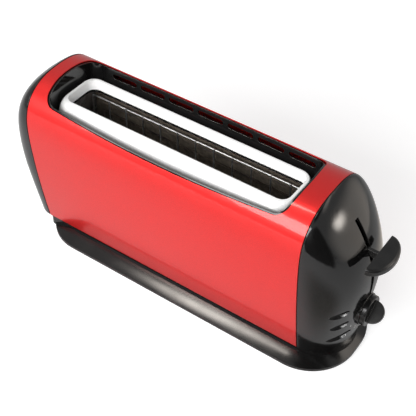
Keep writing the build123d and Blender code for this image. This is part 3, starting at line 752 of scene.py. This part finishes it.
def tube_mesh(name, rings):
    """Quads between neighbouring rings, with both ends closed by one flat face each."""
    count, sides = rings.shape[:2]
    index = np.arange(count * sides).reshape(count, sides)
    beside = np.roll(index, -1, axis=1)
    quads = np.stack([index[:-1], beside[:-1], beside[1:], index[1:]], axis=-1).reshape(-1, 4)
    ends = [index[0, ::-1].tolist(), index[-1].tolist()]
    mesh = bpy.data.meshes.new(name)
    mesh.from_pydata(rings.reshape(-1, 3).tolist(), [], quads.tolist() + ends)
    mesh.polygons.foreach_set("use_smooth", np.ones(len(mesh.polygons), dtype=bool))
    return mesh


print("points in one turn of wire:", steps_per_turn * wire_sides)

# %% [markdown]
# The spring's length and width are measured on the solid whose place it takes. Only the wire and the
# number of turns are given here.

# %% Return spring
wire_radius = 0.7 * mm
spring_turns = 9
places = face_points(nodes["return_spring"])[0]
spring_foot = places.min(axis=0)
spring_top = places.max(axis=0)
spring_middle = (spring_foot + spring_top) / 2
coil_radius = (spring_top - spring_foot)[:2].max() / 2 - wire_radius
spring_low = spring_foot[2] + wire_radius
spring_high = spring_top[2] - wire_radius
rings = coiled_wire(spring_middle, spring_low, spring_high, coil_radius, wire_radius, spring_turns)

spring = bpy.data.objects.new("return_spring_coil", tube_mesh("return_spring_coil", rings))
spring.data.materials.append(zinc)
scene.collection.objects.link(spring)
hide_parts("return_spring")
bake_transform(spring)
print("spring length mm", round((spring_high - spring_low) / mm, 1), "radius mm", round(coil_radius / mm, 2))

# %% [markdown]
# The portrait was taken on white paper under a wide, soft light. A white floor under a white world gives
# that. The floor is a real mid-white that takes the shadow, and adds a little light of its own for the
# camera only, so that the paper looks white without lighting the toaster from below. In the same way the
# world looks full white to the camera, and lights the toaster at half of that.

# %% Floor and world
floor_colours = ((0.62, 0.62, 0.62), (0.66, 0.66, 0.66))
floor_glow = 0.55
floor_reach = 3.0
world_light = 0.5
white = (1, 1, 1, 1)

paper, tree, shader = mottled_finish("white_paper", floor_colours, (0.85, 0.95), scale=300.0, detail=4.0)[:3]
sight = tree.nodes.new("ShaderNodeLightPath")
shader.inputs["Emission Color"].default_value = white
glow = arithmetic(tree, "MULTIPLY", sight.outputs["Is Camera Ray"], floor_glow)
tree.links.new(glow, shader.inputs["Emission Strength"])
floor_corners = [(x * floor_reach, y * floor_reach, 0) for x, y in ((-1, -1), (1, -1), (1, 1), (-1, 1))]
floor_mesh = bpy.data.meshes.new("floor")
floor_mesh.from_pydata(floor_corners, [], [(0, 1, 2, 3)])
floor_mesh.materials.append(paper)
floor = bpy.data.objects.new("floor", floor_mesh)
scene.collection.objects.link(floor)

world = bpy.data.worlds.new("studio")
scene.world = world
world.use_nodes = True
sky = world.node_tree
backdrop = sky.nodes["Background"]
backdrop.inputs["Color"].default_value = white
sky_sight = sky.nodes.new("ShaderNodeLightPath")
seen_more = arithmetic(sky, "MULTIPLY", sky_sight.outputs["Is Camera Ray"], 1.0 - world_light)
sky.links.new(arithmetic(sky, "ADD", seen_more, world_light), backdrop.inputs["Strength"])
scene.view_settings.view_transform = "Standard"
print("floor of", 2 * floor_reach, "m and world ready")

# %% [markdown]
# One lamp is enough when the world is bright. It stands well away in front and is as wide as a window, so
# its shadow is soft: it lights the shell's front evenly along its length and leaves the rear in shade.

# %% Lamp
lamp_aim = Vector((0.0, 0.0, 0.08))

soft = bpy.data.lights.new("soft_lamp", "AREA")
soft.shape = "RECTANGLE"
soft.size = 1.9
soft.size_y = 0.8
soft.energy = 42.0
lamp = bpy.data.objects.new("soft_lamp", soft)
lamp.location = (-0.12, -1.39, 0.85)
lamp.rotation_euler = (lamp_aim - lamp.location).to_track_quat("-Z", "Y").to_euler()
scene.collection.objects.link(lamp)
print("lamp ready,", soft.energy, "W")

# %% [markdown]
# Polished black and lacquer show what stands around them, so the surroundings are part of the looks. Cards
# out of the picture do this work. A card is part of a dome, given by its turn and its rise in degrees as
# seen from one point. It fades out towards its rim, so that it leaves no hard edge in the polish: an
# attribute holds its share at each point.

# %% Shape of a card
card_columns = 61
card_rows = 41
corner_power = 2.6
floor_clearance = 1 * mm


def dome_card(name, centre, turn, rise, distance, fade):
    """Part of a ball: centre plus distance along the direction with a turn and a rise, on a grid.

    No point lies below the floor. The share falls from 1 to 0 as the radius over the grid, with rounded
    corners, goes from 1 - fade to 1.
    """
    across, upward = np.meshgrid(np.linspace(-1, 1, card_columns), np.linspace(-1, 1, card_rows))
    turned = np.radians((turn[0] + turn[1]) / 2 + across * (turn[1] - turn[0]) / 2)
    raised = np.radians((rise[0] + rise[1]) / 2 + upward * (rise[1] - rise[0]) / 2)
    level = np.cos(raised)
    out = np.stack([level * np.cos(turned), level * np.sin(turned), np.sin(raised)], axis=-1)
    points = np.asarray(centre) + distance * out
    points[..., 2] = np.maximum(points[..., 2], floor_clearance)
    radius = (np.abs(across) ** corner_power + np.abs(upward) ** corner_power) ** (1 / corner_power)
    share = np.clip((1 - radius) / fade, 0.0, 1.0)
    share = share * share * (3 - 2 * share)
    index = np.arange(across.size).reshape(across.shape)
    around = [index[:-1, :-1], index[1:, :-1], index[1:, 1:], index[:-1, 1:]]
    mesh = bpy.data.meshes.new(name)
    mesh.from_pydata(points.reshape(-1, 3).tolist(), [], np.stack(around, axis=-1).reshape(-1, 4).tolist())
    values = mesh.attributes.new("share", "FLOAT", "POINT").data
    values.foreach_set("value", share.ravel().astype(np.float32))
    return mesh


print("points of a card:", card_columns * card_rows)

# %% [markdown]
# A card glows by itself, in the warm white of paper under a lamp, and turns clear as its share falls. Only
# reflections can see it: it is hidden from the camera, casts no shadow and lights nothing else. It belongs
# to the stage and not to the toaster.

# %% Finish of a card
warm_white = ((1.0, 0.91, 0.82), (1.0, 0.95, 0.89))


def card_finish(name, level):
    """Warm glow of a level, mixed with clear by the card's share."""
    material, net, shader = new_finish(name)
    net.nodes.remove(shader)
    glow = net.nodes.new("ShaderNodeEmission")
    glow.inputs["Strength"].default_value = level
    tone = grain(net, scale=3.0, detail=2.0)
    net.links.new(blend_colour(net, tone, *warm_white), glow.inputs["Color"])
    clear = net.nodes.new("ShaderNodeBsdfTransparent")
    cover = net.nodes.new("ShaderNodeAttribute")
    cover.attribute_name = "share"
    mix = net.nodes.new("ShaderNodeMixShader")
    net.links.new(cover.outputs["Fac"], mix.inputs["Fac"])
    net.links.new(clear.outputs["BSDF"], mix.inputs[1])
    net.links.new(glow.outputs["Emission"], mix.inputs[2])
    net.links.new(mix.outputs["Shader"], net.nodes["Material Output"].inputs["Surface"])
    return material


def hang_card(name, level, **shape):
    """One card, seen only by reflections."""
    mesh = dome_card(name, **shape)
    mesh.materials.append(card_finish(name, level))
    piece = bpy.data.objects.new(name, mesh)
    piece.visible_camera = False
    piece.visible_diffuse = False
    piece.visible_shadow = False
    piece.visible_transmission = False
    scene.collection.objects.link(piece)
    print("card", name, "level", level)


print("helpers for the cards ready")

# %% [markdown]
# The control cap shows a dark board in front of it, a bright strip beyond, and a small bright spot. The
# base shows a long lamp as a line on its flange, which ends in a spot at the corner, and a dark ceiling
# and a glow round its end. Paler and darker paper near the foot finish the lower half of the cap.

# %% Hang the cards
cap_top = (0.16, -0.02, 0.13)
cap_foot = (0.16, -0.03, 0.09)
cap_side = (0.17, 0.0, 0.09)
flange = (0.05, -0.06, 0.015)
flange_corner = (0.115, -0.045, 0.015)
flange_end = (0.14, -0.02, 0.02)
flange_rear = (0.17, -0.02, 0.02)

hang_card("dark_board", 0.004, centre=cap_top, turn=(-108, -6), rise=(-26, 46), distance=0.5, fade=0.12)
hang_card("bright_strip", 1.5, centre=cap_top, turn=(-10, 80), rise=(-20, 28), distance=0.9, fade=0.5)
hang_card("bright_spot", 14.0, centre=cap_top, turn=(14, 42), rise=(13, 24), distance=0.85, fade=0.9)
hang_card("long_lamp", 20.0, centre=flange, turn=(-176, -138), rise=(54, 80), distance=0.9, fade=0.8)
hang_card("rear_glow", 2.6, centre=flange_rear, turn=(10, 90), rise=(38, 62), distance=0.9, fade=0.7)
hang_card("rear_paper", 0.95, centre=cap_side, turn=(25, 125), rise=(-62, -8), distance=0.22, fade=0.6)
hang_card("front_shade", 0.35, centre=cap_foot, turn=(-135, 0), rise=(-88, -14), distance=0.13, fade=0.7)
hang_card("ceiling_shade", 0.01, centre=flange_end, turn=(-135, 55), rise=(62, 90), distance=0.6, fade=0.35)
hang_card("corner_spot", 14.0, centre=flange_corner, turn=(-160, -143), rise=(66, 78), distance=0.9, fade=0.9)
